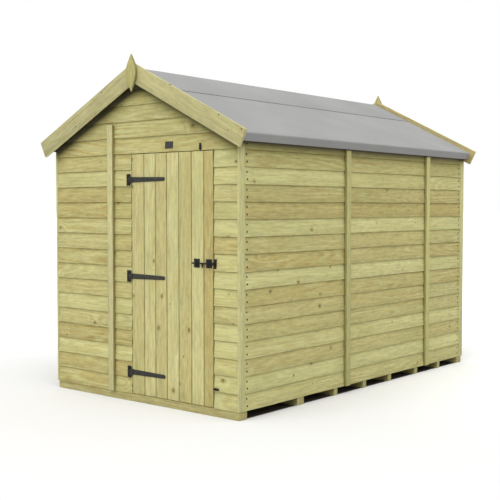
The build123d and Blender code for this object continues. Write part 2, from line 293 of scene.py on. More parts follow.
def blend_of(tree, share, a, b, mode="MIX"):
    a, b = (value if isinstance(value, bpy.types.NodeSocket) else (*value, 1.0) for value in (a, b))
    inputs = {0: share, 6: a, 7: b}
    return add_node(tree, "ShaderNodeMix", inputs, data_type="RGBA", blend_type=mode).outputs[2]


def spread_of(tree, value, low, high, to_low=0.0, to_high=1.0):
    """Takes a value from one range to another, with soft ends."""
    inputs = {0: value, 1: low, 2: high, 3: to_low, 4: to_high}
    return add_node(tree, "ShaderNodeMapRange", inputs, interpolation_type="SMOOTHSTEP").outputs[0]


def moved(tree, vector, by):
    return add_node(tree, "ShaderNodeVectorMath", {0: vector, 1: by}, operation="ADD").outputs[0]


def scaled(tree, vector, by):
    return add_node(tree, "ShaderNodeVectorMath", {0: vector, 1: by}, operation="MULTIPLY").outputs[0]


def parts_of(tree, vector):
    return add_node(tree, "ShaderNodeSeparateXYZ", {0: vector}).outputs


def grey_of(tree, value):
    return add_node(tree, "ShaderNodeCombineColor", {0: value, 1: value, 2: value}).outputs[0]


def noise_of(tree, vector, scale, detail=2.0, rough=0.5):
    inputs = {"Vector": vector, "Scale": scale, "Detail": detail, "Roughness": rough}
    return add_node(tree, "ShaderNodeTexNoise", inputs).outputs["Fac"]


def new_group(name, takes, gives):
    tree = bpy.data.node_groups.new(name, "ShaderNodeTree")
    for label, kind in takes:
        tree.interface.new_socket(label, in_out="INPUT", socket_type="NodeSocket" + kind)
    for label in gives:
        tree.interface.new_socket(label, in_out="OUTPUT", socket_type="NodeSocketFloat")
    return tree, tree.nodes.new("NodeGroupInput").outputs, tree.nodes.new("NodeGroupOutput").inputs


def new_finish(name):
    """A material with its node tree, its shader and the object's own coordinates."""
    material = bpy.data.materials.new(name)
    material.use_nodes = True
    tree = material.node_tree
    place = add_node(tree, "ShaderNodeTexCoord").outputs["Object"]
    return material, tree, tree.nodes["Principled BSDF"], place


def coat(tree, shader, colour, roughness, relief, depth, height):
    """Feeds a shader its colour, roughness and relief."""
    bump = add_node(tree, "ShaderNodeBump", {"Strength": relief, "Distance": depth, "Height": height})
    for label, value in (("Base Color", colour), ("Roughness", roughness), ("Normal", bump.outputs[0])):
        tree.links.new(value, shader.inputs[label])


# Softwood. Each noise: features to the metre along and across the grain, detail and roughness
GRAIN_NOISE = {
    "rings": (0.75, 6.0, 1.0, 0.4),
    "wander": (9.0, 60.0, 2.0, 0.5),
    "patch": (1.3, 5.0, 1.0, 0.5),
    "hairs": (7.0, 210.0, 3.0, 0.6),
    "streaks": (2.6, 78.0, 2.0, 0.6),
    "pores": (16.0, 640.0, 2.0, 0.6),
    "cloud": (1.6, 4.5, 2.0, 0.5),
    "mottle": (15.0, 64.0, 3.0, 0.7),
}
FIBRE_SHARES = (("hairs", 0.45), ("streaks", 0.35), ("pores", 0.2))
SEED_STEPS = (("X", 31.7), ("Y", 11.3), ("Z", 7.9))
KNOT_CELLS = (5.2, 1.0, 7.0)
KNOT_RAGGED = (0.012, 0.006, 0.006)
KNOT_RAGGED_SCALE = 60.0
KNOT_SIZES = (0.45, 1.45)
SWIRL_EDGES = (0.42, 0.03)
HALO_EDGES = (0.13, 0.05)
KNOT_EDGES = (0.062, 0.03)
RING_SWIRL = 1.3
RING_WANDER = 0.35
PATCH_STRENGTH = (0.36, 0.62, 0.25, 1.0)
BOARD_STRENGTH = (0.1, 0.9, 0.45, 1.35)
BOARD_STRENGTH_STEP = 9.3


def make_timber_figure():
    """Growth rings, fibre and knots of softwood, with X along the grain."""
    takes = (("Vector", "Vector"), ("Seed", "Float"), ("Rings", "Float"), ("Knots", "Float"))
    gives = ("Figure", "Fibre", "Knot", "Halo", "Cloud", "Mottle")
    tree, given, made = new_group("Timber figure", takes, gives)
    seed = given["Seed"]
    steps = {axis: times(tree, seed, step) for axis, step in SEED_STEPS}
    place = moved(tree, given["Vector"], add_node(tree, "ShaderNodeCombineXYZ", steps).outputs[0])
    noise = {}
    for name, (along, across, detail, rough) in GRAIN_NOISE.items():
        noise[name] = noise_of(tree, scaled(tree, place, (along, across, across)), 1.0, detail, rough)

    inputs = {"Vector": place, "Scale": KNOT_RAGGED_SCALE, "Detail": 2.0}
    ragged = add_node(tree, "ShaderNodeTexNoise", inputs).outputs["Color"]
    bent = moved(tree, place, scaled(tree, ragged, KNOT_RAGGED))
    bent = parts_of(tree, scaled(tree, bent, KNOT_CELLS))
    flat = add_node(tree, "ShaderNodeCombineXYZ", {"X": bent["X"], "Y": bent["Z"]}).outputs[0]
    cell = add_node(tree, "ShaderNodeTexVoronoi", {"Vector": flat, "Scale": 1.0}, voronoi_dimensions="2D")
    lots = add_node(tree, "ShaderNodeSeparateColor", {0: cell.outputs["Color"]}).outputs
    kept = maths(tree, "LESS_THAN", lots[0], given["Knots"])
    distance = maths(tree, "DIVIDE", cell.outputs["Distance"], spread_of(tree, lots[1], 0.0, 1.0, *KNOT_SIZES))
    swirl, halo, knot = (
        times(tree, spread_of(tree, distance, *edges), kept) for edges in (SWIRL_EDGES, HALO_EDGES, KNOT_EDGES)
    )

    phase = plus(tree, times(tree, noise["rings"], given["Rings"]), times(tree, swirl, RING_SWIRL))
    phase = plus(tree, phase, times(tree, noise["wander"], RING_WANDER))
    line = spread_of(tree, maths(tree, "PINGPONG", phase, 0.5), 0.0, 0.5)
    lively = maths(tree, "FRACT", times(tree, seed, BOARD_STRENGTH_STEP))
    strength = spread_of(tree, noise["patch"], *PATCH_STRENGTH)
    strength = times(tree, strength, spread_of(tree, lively, *BOARD_STRENGTH))
    figure = times(tree, maths(tree, "SUBTRACT", line, 0.5), strength)
    hairs, streaks, pores = (times(tree, noise[name], share) for name, share in FIBRE_SHARES)
    fibre = plus(tree, plus(tree, hairs, streaks), pores)
    for label, value in zip(gives, (figure, fibre, knot, halo, noise["cloud"], noise["mottle"])):
        tree.links.new(value, made[label])
    return tree


def make_roof_shade():
    """How close a point of the walls lies under the roof, from nought well below it to one against it, which
    sets how much painted shade it gets.
    """
    takes = (("Vector", "Vector"), ("Reach", "Float"), ("Fall", "Float"), ("Gain", "Float"))
    tree, given, made = new_group("Close under the roof", takes, ("Shade",))
    place = parts_of(tree, given["Vector"])
    drop = times(tree, maths(tree, "SUBTRACT", RIDGE_UNDER, place["Z"]), cos(PITCH))
    slopes = []
    for side in (sin(PITCH), -sin(PITCH)):
        below = maths(tree, "SUBTRACT", drop, times(tree, place["X"], side))
        near = maths(tree, "SUBTRACT", 1.0, maths(tree, "DIVIDE", below, given["Reach"]), True)
        slopes.append(maths(tree, "POWER", near, given["Fall"]))
    shade = times(tree, plus(tree, *slopes), given["Gain"], True)
    tree.links.new(shade, made["Shade"])
    return tree


ROOF_SHADE = make_roof_shade()
TIMBER = make_timber_figure()
GRAIN_TURNS = {
    "x": (0, 0, 0),
    "y": (0, 0, -pi / 2),
    "z": (0, pi / 2, 0),
    "right_slope": (0, -PITCH, 0),
    "left_slope": (0, PITCH, 0),
}
RINGS = 14.0
WARMTH_RANGE = 0.38
WARMTH_MIDDLE = 0.42
CLOUD_DRIFT = 0.45
GREENING = (0.47, 0.62, 0.0, 0.42)
FIBRE_LIGHT = (0.32, 0.68, 0.80, 1.145)
MOTTLE_LIGHT = (0.3, 0.7, -0.12, 0.11)
KNOT_CORE = (0.16, 0.135, 0.036)
KNOT_CORE_SHARE = 0.85
KNOT_HALO = (0.36, 0.30, 0.10)
KNOT_HALO_SHARE = 0.7
FIBRE_RELIEF = 0.7
FIGURE_RELIEF = 0.3

# Painted shade under the roof and painted shadow lines at the laps
SHADED = (0.028, 0.025, 0.010)
SHADED_SHARE = 0.95
PAINTED_SHADE_TINT = (1.0, 0.96, 0.55)
GABLE_SHADE = {"Reach": 0.28, "Fall": 4.6, "Gain": 5.2}
EAVES_SHADE = {"Reach": 0.29, "Fall": 4.2, "Gain": 2.4}
STRIP_SHADE = {"Reach": 0.16, "Fall": 3.5, "Gain": 5.0}
LAP_SHADOW_TINT = (0.30, 0.28, 0.06)
LAP_SHADOW_LINE = (0.93, 1.0, 0.0, 0.1)
LAP_SHADOW_FADE = (0.7, 0.95, 0.0, 0.08)


def shaded(tree, colour, place, height, shade):
    """Paints shade into boards close under the roof and a shadow line just below the lap of the next board."""
    under = add_node(tree, "ShaderNodeGroup", {"Vector": place, **shade}, node_tree=ROOF_SHADE).outputs["Shade"]
    colour = blend_of(tree, under, colour, PAINTED_SHADE_TINT, "MULTIPLY")
    colour = blend_of(tree, times(tree, under, SHADED_SHARE), colour, SHADED)
    # Painted shadow line and fade just below the lap of the next board
    lap_shadow = plus(tree, spread_of(tree, height, *LAP_SHADOW_LINE), spread_of(tree, height, *LAP_SHADOW_FADE))
    return blend_of(tree, lap_shadow, colour, LAP_SHADOW_TINT, "MULTIPLY")


def timber(name, grain, colours, knots=0.18, figure_share=0.6, rough=0.72, shade=None):
    """Pressure-treated softwood with its grain along one way, from its pale, tan and green colours, with
    painted shade under the roof and at the laps when given a shade.
    """
    pale, tan, green = colours
    material, tree, shader, place = new_finish(name)
    turned = {"Vector": place, "Rotation": GRAIN_TURNS[grain]}
    turned = add_node(tree, "ShaderNodeMapping", turned).outputs[0]
    board = add_node(tree, "ShaderNodeAttribute", attribute_name="board").outputs
    tone, warmth, seed = add_node(tree, "ShaderNodeSeparateColor", {0: board["Color"]}).outputs
    inputs = {"Vector": turned, "Seed": seed, "Rings": RINGS, "Knots": knots}
    grown = add_node(tree, "ShaderNodeGroup", inputs, node_tree=TIMBER).outputs
    fibre, cloud, mottle = grown["Fibre"], grown["Cloud"], grown["Mottle"]

    drift = times(tree, maths(tree, "SUBTRACT", cloud, 0.5), CLOUD_DRIFT)
    share = plus(tree, times(tree, grown["Figure"], figure_share), drift)
    warm = plus(tree, times(tree, warmth, WARMTH_RANGE), WARMTH_MIDDLE)
    colour = blend_of(tree, plus(tree, share, warm, True), pale, tan)
    greening = times(tree, plus(tree, cloud, mottle), 0.5)
    colour = blend_of(tree, spread_of(tree, greening, *GREENING), colour, green)
    light = plus(tree, spread_of(tree, fibre, *FIBRE_LIGHT), tone)
    light = plus(tree, light, spread_of(tree, mottle, *MOTTLE_LIGHT))
    colour = blend_of(tree, 1.0, colour, grey_of(tree, light), "MULTIPLY")
    colour = blend_of(tree, times(tree, grown["Halo"], KNOT_HALO_SHARE), colour, KNOT_HALO)
    colour = blend_of(tree, times(tree, grown["Knot"], KNOT_CORE_SHARE), colour, KNOT_CORE)
    # Painted shade under the roof and painted shadow lines below the laps
    if shade:
        colour = shaded(tree, colour, place, board["Alpha"], shade)
    roughness = spread_of(tree, fibre, 0.2, 0.8, rough + 0.1, rough - 0.08)
    height = plus(tree, times(tree, fibre, FIBRE_RELIEF), times(tree, grown["Figure"], FIGURE_RELIEF))
    coat(tree, shader, colour, roughness, 0.35, 0.8 * MM, height)
    return material


# Pale, tan and green of each kind of timber
CLAD = ((0.59, 0.565, 0.252), (0.47, 0.373, 0.12), (0.46, 0.46, 0.17))
DOOR = ((0.595, 0.56, 0.264), (0.49, 0.40, 0.138), (0.465, 0.465, 0.185))
TRIM = ((0.58, 0.555, 0.285), (0.53, 0.48, 0.23), (0.48, 0.48, 0.215))
CORNER = ((0.585, 0.56, 0.26), (0.535, 0.485, 0.21), (0.485, 0.485, 0.195))
BATTEN = ((0.50, 0.475, 0.194), (0.45, 0.41, 0.15), (0.43, 0.435, 0.16))
# Darker timber for painted shade on the sides of strips, in the door's seams and on the bearers' sides under
# the floor
SHADED_EDGE_COLOURS = ((0.345, 0.32, 0.121), (0.282, 0.246, 0.09), (0.282, 0.282, 0.109))
# Near black for the eaves batten, painted shade under the eaves
EAVES_BATTEN_SHADE = ((0.05, 0.044, 0.02), (0.036, 0.03, 0.012), (0.04, 0.038, 0.016))
RIGHT_BARGE = ((0.545, 0.51, 0.25), (0.45, 0.385, 0.155), (0.43, 0.43, 0.18))
LEFT_BARGE = ((0.485, 0.455, 0.222), (0.40, 0.345, 0.138), (0.385, 0.385, 0.16))
# Darker bargeboard backs, painted shade
BARGE_BACK_SHADE = ((0.48, 0.395, 0.168), (0.39, 0.29, 0.108), (0.37, 0.335, 0.132))
# Very pale bargeboard undersides, painted light
BARGE_UNDERSIDE_LIGHT = ((0.84, 0.80, 0.45), (0.77, 0.71, 0.36), (0.72, 0.72, 0.37))
FRAMING = ((0.56, 0.49, 0.25), (0.47, 0.38, 0.16), (0.43, 0.42, 0.18))
BEARER = ((0.50, 0.465, 0.21), (0.42, 0.36, 0.14), (0.40, 0.40, 0.16))
STRIP = {"knots": 0.12, "figure_share": 0.35}

clad_x = timber("Overlap board along the gable", "x", CLAD, shade=GABLE_SHADE)
clad_y = timber("Overlap board along the side", "y", CLAD, shade=EAVES_SHADE)
door_z = timber("Door board", "z", DOOR, knots=0.22)
trim_z = timber("Upright trim", "z", TRIM, shade=STRIP_SHADE, **STRIP)
corner_z = timber("Corner strip", "z", CORNER, shade=STRIP_SHADE, **STRIP)
# Darker timber than the other upright trim, for the side battens and finials
batten_z = timber("Darker upright trim", "z", BATTEN, **STRIP)
# Painted shade on the sides of strips and of the bearers
shaded_edge_z = timber("Upright edge in painted shade", "z", SHADED_EDGE_COLOURS, knots=0.1, rough=0.85)
shaded_bearer_x = timber("Shaded bearer side", "x", SHADED_EDGE_COLOURS, knots=0.1, rough=0.85)
# Painted shade: the eaves batten's timber made near black
shaded_eaves_y = timber("Eaves batten in painted shade", "y", EAVES_BATTEN_SHADE, knots=0.1, rough=0.85)
barge_right = timber("Right bargeboard", "right_slope", RIGHT_BARGE, knots=0.2)
barge_left = timber("Left bargeboard", "left_slope", LEFT_BARGE, knots=0.2)
# Painted shade on the bargeboards' backs
shaded_back_right = timber("Right bargeboard back", "right_slope", BARGE_BACK_SHADE, knots=0.2)
shaded_back_left = timber("Left bargeboard back", "left_slope", BARGE_BACK_SHADE, knots=0.2)
# Painted light on the bargeboards' undersides
barge_underside_lit = timber("Bargeboard underside with painted light", "x", BARGE_UNDERSIDE_LIGHT, knots=0.1)
frame_x = timber("Framing along the gable", "x", FRAMING)
frame_y = timber("Framing along the side", "y", FRAMING)
frame_z = timber("Upright framing", "z", FRAMING)
frame_right = timber("Rafter", "right_slope", FRAMING)
bearer_x = timber("Sawn bearer", "x", BEARER, rough=0.82)

FELT_GREYS = ((0.296, 0.296, 0.291), (0.325, 0.325, 0.319))
GLUE_BROWN = (0.46, 0.32, 0.15)
STRAND_BROWNS = ((0.4, 0.26, 0.11), (0.62, 0.48, 0.26))
STRAND_TURNS = (0.4, -0.7, 1.4, -1.3)
STRAND_STEP = Vector((3.1, 1.7, 0.37))
STRAND_CELLS = (9.0, 42.0, 42.0)


def make_felt():
    """Grey mineral felt."""
    material, tree, shader, place = new_finish("Mineral felt")
    patches = noise_of(tree, place, 2.2, 3.0, 0.55)
    grit = noise_of(tree, place, 900.0, 1.0)
    colour = blend_of(tree, spread_of(tree, patches, 0.3, 0.7), *FELT_GREYS)
    speck = grey_of(tree, spread_of(tree, grit, 0.3, 0.7, 0.86, 1.1))
    colour = blend_of(tree, 1.0, colour, speck, "MULTIPLY")
    coat(tree, shader, colour, spread_of(tree, grit, 0.2, 0.8, 0.95, 0.85), 0.3, 0.6 * MM, grit)
    return material


def make_strand_board():
    """Pressed strands laid every way."""
    material, tree, shader, place = new_finish("Strand board")
    colour, height = GLUE_BROWN, 0.0
    for number, turn in enumerate(STRAND_TURNS):
        inputs = {"Vector": place, "Location": STRAND_STEP * number, "Rotation": (0, 0, turn)}
        way = add_node(tree, "ShaderNodeMapping", inputs).outputs[0]
        inputs = {"Vector": scaled(tree, way, STRAND_CELLS), "Scale": 1.0}
        cell = add_node(tree, "ShaderNodeTexVoronoi", inputs).outputs["Color"]
        lots = add_node(tree, "ShaderNodeSeparateColor", {0: cell}).outputs
        strand = blend_of(tree, lots[1], *STRAND_BROWNS)
        colour = blend_of(tree, spread_of(tree, lots[0], 0.5, 0.56), colour, strand)
        height = maths(tree, "MAXIMUM", lots[0], height)
    coat(tree, shader, colour, spread_of(tree, height, 0.2, 0.9, 0.8, 0.62), 0.4, 0.8 * MM, height)
    return material


def coated_steel(name, dark, worn, rough):
    """Black coated steel with a little dust and rubbed patches."""
    material, tree, shader, place = new_finish(name)
    shader.inputs["Metallic"].default_value = 0.1
    shader.inputs["Specular IOR Level"].default_value = 0.22
    patches = noise_of(tree, place, 38.0, 4.0, 0.6)
    pits = noise_of(tree, place, 420.0, 2.0)
    colour = blend_of(tree, spread_of(tree, patches, 0.45, 0.75), dark, worn)
    roughness = spread_of(tree, patches, 0.3, 0.7, rough - 0.08, rough + 0.12)
    coat(tree, shader, colour, roughness, 0.2, 0.4 * MM, pits)
    return material


felt = make_felt()
bitumen = coated_steel("Bitumen edge", (0.03, 0.03, 0.03), (0.07, 0.07, 0.068), 0.7)
strand_board = make_strand_board()
black_steel = coated_steel("Black coated steel", (0.036, 0.037, 0.03), (0.058, 0.059, 0.048), 0.5)
bolt_steel = coated_steel("Black bolt steel", (0.007, 0.0075, 0.007), (0.018, 0.018, 0.017), 0.5)
nail_steel = coated_steel("Nail head", (0.01, 0.011, 0.006), (0.024, 0.022, 0.012), 0.75)
plate_grey = coated_steel("Bare name plate", (0.045, 0.046, 0.04), (0.066, 0.066, 0.057), 0.55)


# Overlap boards

# Kinds of board, each with its tone and its warmth, and the kinds of the rows from the lowest up
LIGHT = (0.04, -0.65)
PLAIN = (0.005, -0.15)
MELLOW = (-0.02, 0.3)
WARM = (-0.04, 0.75)
TAWNY = (-0.06, 1.2)
# The top gable rows are mostly MELLOW, a little darker, which adds to the painted shade under the roof
GABLE_ROWS = (
    MELLOW, WARM, LIGHT, WARM, PLAIN, PLAIN, PLAIN, PLAIN,
    MELLOW, MELLOW, MELLOW, WARM, TAWNY, LIGHT, MELLOW, MELLOW,
    MELLOW, MELLOW, PLAIN, MELLOW, MELLOW, MELLOW, PLAIN, MELLOW,
)
LATCH_ROWS = (
    PLAIN, LIGHT, PLAIN, LIGHT, LIGHT, WARM, LIGHT, LIGHT, LIGHT,
    WARM, LIGHT, PLAIN, PLAIN, LIGHT, LIGHT, PLAIN, PLAIN,
)
SIDE_ROWS = (
    PLAIN, LIGHT, MELLOW, LIGHT, MELLOW, MELLOW, MELLOW, LIGHT, MELLOW,
    MELLOW, LIGHT, TAWNY, WARM, LIGHT, PLAIN, MELLOW, PLAIN,
)
ROW_TONE, ROW_WARMTH = 0.015, 0.25
BOARD_TONE, BOARD_WARMTH = 0.025, 0.3
ROW_CHANCES = [
    (chance.uniform(-ROW_TONE, ROW_TONE), chance.uniform(-ROW_WARMTH, ROW_WARMTH)) for row in GABLE_ROWS
]
BOARD_EASE = 1.1 * MM
BEND_EVERY = 0.075
ROW_SLACK = 0.02
EDGE_BOW = ("edge_bow", 6.0 * MM, 0.42)
EDGE_WANDER = ("edge_wander", 2.4 * MM, 0.11)
GABLE_FRONTS = (
    "cladding_left", "cladding_hinge_side", "cladding_latch_side", "cladding_over_door", "gable_top",
)
GABLE_REARS = ("cladding_left", "cladding_right", "gable_top")
UP = (0, 0, 1)


def overlap_panel(name, run, low, high, wall, kinds):
    """Lapped boards facing +X, from Y = 0 along the run, then turned and moved to their wall."""
    pattern = block("board_pattern", (-BOARD_THICK, 0, 0), (0, run, BOARD_WIDE))
    cut_across(pattern, 1, max(3, int(run / BEND_EVERY)))
    ease_edges(pattern, BOARD_EASE)
    heights = [point.co.z / BOARD_COVER for point in pattern.data.vertices]
    first = round((low - CLAD_LOW) / BOARD_COVER)
    boards = []
    for row in range(ceil((high - low) / BOARD_COVER - ROW_SLACK)):
        board = copy_of(pattern, "board")
        foot = Vector((CLAD_DEPTH, 0, low + row * BOARD_COVER))
        board.data.transform(Matrix.Translation(foot) @ Matrix.Rotation(-LEAN, 4, "Y"))
        kind, luck = kinds[first + row], ROW_CHANCES[first + row]
        tone = kind[0] + luck[0] + chance.uniform(-BOARD_TONE, BOARD_TONE)
        warmth = kind[1] + luck[1] + chance.uniform(-BOARD_WARMTH, BOARD_WARMTH)
        stamp(board, tone, warmth, chance.random(), heights)
        boards.append(board)
    bpy.data.objects.remove(pattern)
    panel = join(boards, name)
    panel.data.transform(wall)
    warp(panel, *EDGE_BOW)
    warp(panel, *EDGE_WANDER)
    return panel


def facing(way, x, y):
    turns = {"right": 0, "left": pi, "front": -pi / 2, "rear": pi / 2}
    return Matrix.Translation((x, y, 0)) @ Matrix.Rotation(turns[way], 4, "Z")


def saw_to_roof(panel):
    """Trims boards to the underside of both slopes."""
    for side in (1, -1):
        saw(panel, (0, 0, RIDGE_UNDER), (side * sin(PITCH), 0, cos(PITCH)))


def clad_sides():
    for place in ("front", "middle", "rear"):
        for side in ("right", "left"):
            node = side + "_cladding_" + place
            low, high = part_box(node)
            start = low[1] if side == "right" else high[1]
            wall = facing(side, HALF_CLAD if side == "right" else -HALF_CLAD, start)
            name = side + "_boards_" + place
            panel = overlap_panel(name, high[1] - low[1], low[2], high[2], wall, SIDE_ROWS)
            saw(panel, (0, 0, high[2]), UP)
            smooth(panel)
            settle(panel, "shed", clad_y, "cladding_timber", node)


def clad_gables():
    for end, places in (("front", GABLE_FRONTS), ("rear", GABLE_REARS)):
        for place in places:
            node = end + "_" + place
            low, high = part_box(node)
            start, face = (low[0], Y_FRONT + CLAD_DEPTH) if end == "front" else (high[0], Y_REAR - CLAD_DEPTH)
            name = end + "_boards_" + place.split("_", 1)[1]
            kinds = LATCH_ROWS if place == "cladding_latch_side" else GABLE_ROWS
            wall = facing(end, start, face)
            panel = overlap_panel(name, high[0] - low[0], low[2], high[2], wall, kinds)
            saw(panel, (0, 0, high[2]), UP)
            saw_to_roof(panel)
            smooth(panel)
            settle(panel, "shed", clad_x, "cladding_timber", node)


# Door

DOOR_BOARD = 112.0 * MM
DOOR_JOINTS = (122 * MM, 230 * MM, 338 * MM, 449 * MM, 564 * MM, 673 * MM)
DOOR_KINDS = (
    (-0.02, 0.2), (0.03, -0.4), (-0.02, 0.3), (0.035, -0.4), (-0.02, 0.4), (0.045, -0.5), (-0.03, 1.4),
)
DOOR_SEAM = 1.4 * MM
DOOR_CHAMFER = 3.4 * MM
DOOR_EASE = 0.7 * MM
DOOR_BENDS = 12
SEAM_FACES = 0.4


def board_the_door():
    low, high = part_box("door_boards")
    front = low[1] + DOOR_SEAM

    def front_arris(edge):
        a, b = edge.verts[0].co, edge.verts[1].co
        return abs(a.z - b.z) > DOOR_BOARD and a.y < front and b.y < front

    boards = []
    joints = [low[0], *(low[0] + joint for joint in DOOR_JOINTS), high[0]]
    for left, right, kind in zip(joints, joints[1:], DOOR_KINDS):
        foot = (left + DOOR_SEAM / 2, low[1], low[2])
        board = block("door_board", foot, (right - DOOR_SEAM / 2, high[1], high[2]))
        mesh = edit(board, "EDGE")
        choose(board, mesh, mesh.edges, front_arris)
        bpy.ops.mesh.bevel(offset=DOOR_CHAMFER, segments=1, affect="EDGES")
        lay_down()
        cut_across(board, 2, DOOR_BENDS)
        ease_edges(board, DOOR_EASE)
        stamp(board, *kind, chance.random())
        boards.append(board)
    leaf = join(boards, "door_face_boards")
    smooth(leaf)
    settle(leaf, "door", door_z, "door_timber", "door_boards")
    # Painted shade on the sides and chamfers of the door boards in the seams
    darken_edges(leaf, shaded_edge_z, 0, SEAM_FACES)


# Trim: strips, battens, bargeboards and finials

TIMBER_TONE = 0.05
REAR_BATTEN_TONE = 0.2
REAR_BATTEN_FROM = 0.3
FINIAL_THICK = 20.0 * MM
TIP_LONG = 60.0 * MM
TIP_END = 5.0 * MM
TIP_THIN = 0.35


def dress_timber(node, material, slot, width, body="shed"):
    """A solid with eased edges in timber of its own tone."""
    piece = softened(node, width)
    tone = chance.uniform(-TIMBER_TONE, TIMBER_TONE)
    stamp(piece, tone, chance.uniform(-1, 1), chance.random())
    return settle(piece, body, material, slot, node)


def point_finials(finials):
    """Thins the finials' tips to an edge."""
    low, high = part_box("gable_finials")
    for level in (low[2] + TIP_LONG, high[2] - TIP_LONG):
        edit_whole(finials)
        bpy.ops.mesh.bisect(plane_co=(0, 0, level), plane_no=UP)
        lay_down()
    for middle in (low[1] + FINIAL_THICK / 2, high[1] - FINIAL_THICK / 2):
        mesh = edit(finials, "VERT")

        def at_tip(point):
            from_end = min(point.co.z - low[2], high[2] - point.co.z)
            return from_end < TIP_END and abs(point.co.y - middle) < FINIAL_THICK

        choose(finials, mesh, mesh.verts, at_tip)
        bpy.ops.transform.resize(value=(1, TIP_THIN, 1), center_override=(0, middle, 0))
        lay_down()
    smooth(finials)


def dress_trim():
    dress_timber("corner_strips", corner_z, "trim_timber", 1.6 * MM)
    battens = dress_timber("side_cover_battens", batten_z, "trim_timber", 2.2 * MM)
    # Painted shade on the sides of the side battens
    darken_edges(battens, shaded_edge_z, 1)
    lighten(battens, REAR_BATTEN_TONE, lambda point: point.co.y > REAR_BATTEN_FROM)
    battens = dress_timber("gable_cover_battens", trim_z, "trim_timber", 2.2 * MM)
    # Painted shade on the sides of the gable battens
    darken_edges(battens, shaded_edge_z, 0)
    for side, front, back in (("right", barge_right, shaded_back_right), ("left", barge_left, shaded_back_left)):
        boards = dress_timber(side + "_bargeboards", front, "trim_timber", 1.6 * MM)
        # Painted light on the bargeboards' undersides
        recolour(boards, barge_underside_lit, lambda face: face.normal.z < -0.6)
        # Painted shade on the bargeboards' backs
        recolour(boards, back, lambda face: face.normal.y * face.calc_center_median().y < -0.7)
    finials = dress_timber("gable_finials", batten_z, "trim_timber", 1.2 * MM)
    # Painted shade on the finials' edges
    darken_edges(finials, shaded_edge_z, 0)
    point_finials(finials)


# Felt

FELT_BEND = 10.0 * MM
FELT_BEND_STEPS = 4
FELT_CUTS_ALONG = 36
FELT_CUTS_DOWN = 10
FELT_LIE = ("felt_lie", 1.2 * MM, 0.3)
ROUND_ANGLE = 40


def on_slope(along, above):
    """A point of the right-hand slope, from the ridge down and over the sheet's underside."""
    x = along * cos(PITCH) + above * sin(PITCH)
    return Vector((x, 0, RIDGE_UNDER - along * sin(PITCH) + above * cos(PITCH)))


def felt_strip(eave, length):
    """Felt lying flat from X = 0, folded down over the eave and a little uneven."""
    lay_down()
    bpy.ops.mesh.primitive_plane_add(size=1, location=((eave + FELT_THICK) / 2, 0, 0))
    strip = bpy.context.object
    strip.scale = (eave + FELT_THICK, length, 1)
    apply_place()

    def over_eave(edge):
        return min(point.co.x for point in edge.verts) > eave

    def at_fold(edge):
        return over_eave(edge) and min(point.co.z for point in edge.verts) > -FELT_THICK

    mesh = edit(strip, "EDGE")
    choose(strip, mesh, mesh.edges, over_eave)
    fold = FELT_THICK + SHEET_THICK + EAVES_DEEP
    bpy.ops.mesh.extrude_region_move(TRANSFORM_OT_translate={"value": (0, 0, -fold)})
    bpy.ops.mesh.select_all(action="DESELECT")
    mesh = bmesh.from_edit_mesh(strip.data)
    choose(strip, mesh, mesh.edges, at_fold)
    bpy.ops.mesh.bevel(offset=FELT_BEND, segments=FELT_BEND_STEPS, affect="EDGES")
    lay_down()
    cut_across(strip, 1, FELT_CUTS_ALONG)
    cut_across(strip, 0, FELT_CUTS_DOWN)
    warp(strip, *FELT_LIE)
    finish_with(strip, "SOLIDIFY", thickness=FELT_LIFT, offset=-1.0)
    smooth(strip, ROUND_ANGLE)
    return strip


def lay_felt():
    low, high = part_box("right_roof_sheet")
    eave = (high[0] - SHEET_THICK * sin(PITCH)) / cos(PITCH)
    top = on_slope(0, SHEET_THICK + FELT_THICK + FELT_LIFT)
    middle = Matrix.Translation((0, (low[1] + high[1]) / 2, 0))
    for side, turn in (("right", 1), ("left", -1)):
        strip = felt_strip(eave, high[1] - low[1])
        strip.data.transform(middle @ Matrix.Translation(top) @ Matrix.Rotation(PITCH, 4, "Y"))
        if side == "left":
            strip.data.transform(Matrix.Scale(-1, 4, (1, 0, 0)))
            edit_whole(strip)
            bpy.ops.mesh.normals_make_consistent(inside=False)
            lay_down()
        strip.name = side + "_felt_strip"
        saw(strip, (0, 0, 0), (-turn, 0, 0))
        settle(strip, "shed", felt, "roofing_felt", side + "_roof_felt")


def lay_ridge_felt():
    piece = softened("ridge_felt", 0.6 * MM)
    piece.data.transform(Matrix.Translation((0, 0, FELT_LIFT / cos(PITCH))))
    settle(piece, "shed", felt, "roofing_felt", "ridge_felt")
    darken_edges(piece, bitumen, 0)


# Ironmongery

STEEL_EASE = 0.7 * MM
STEEL_ANGLE = 40
SIDE_NAIL = 6.2 * MM
SIDE_NAILS = 31
SIDE_NAIL_LEVELS = (0.27, 0.7)
SIDE_NAIL_ENDS = (Y_FRONT + 80 * MM, Y_REAR - 84 * MM)
NAIL_STRAY = 2
BARGE_NAIL = 4.4 * MM
BARGE_NAILS = {1: ((850, 40), (1060, 36)), -1: ((335, 30), (685, -40))}
PLATE_LOW = (245.5 * MM, -3 * MM, -23.5 * MM)
PLATE_HIGH = (317.5 * MM, 3 * MM, 23.5 * MM)
PLATE_HEIGHT = 1760.5 * MM
PLATE_EASE = 0.4 * MM
PLATE_RIM = 4 * MM
PLATE_BEVEL = 1 * MM
PLATE_SUNK = 1.2 * MM
OUTWARD = (0, -1, 0)


def dress_steel(node, body, material):
    piece = softened(node, STEEL_EASE, STEEL_ANGLE)
    return settle(piece, body, material, "black_ironmongery", node)


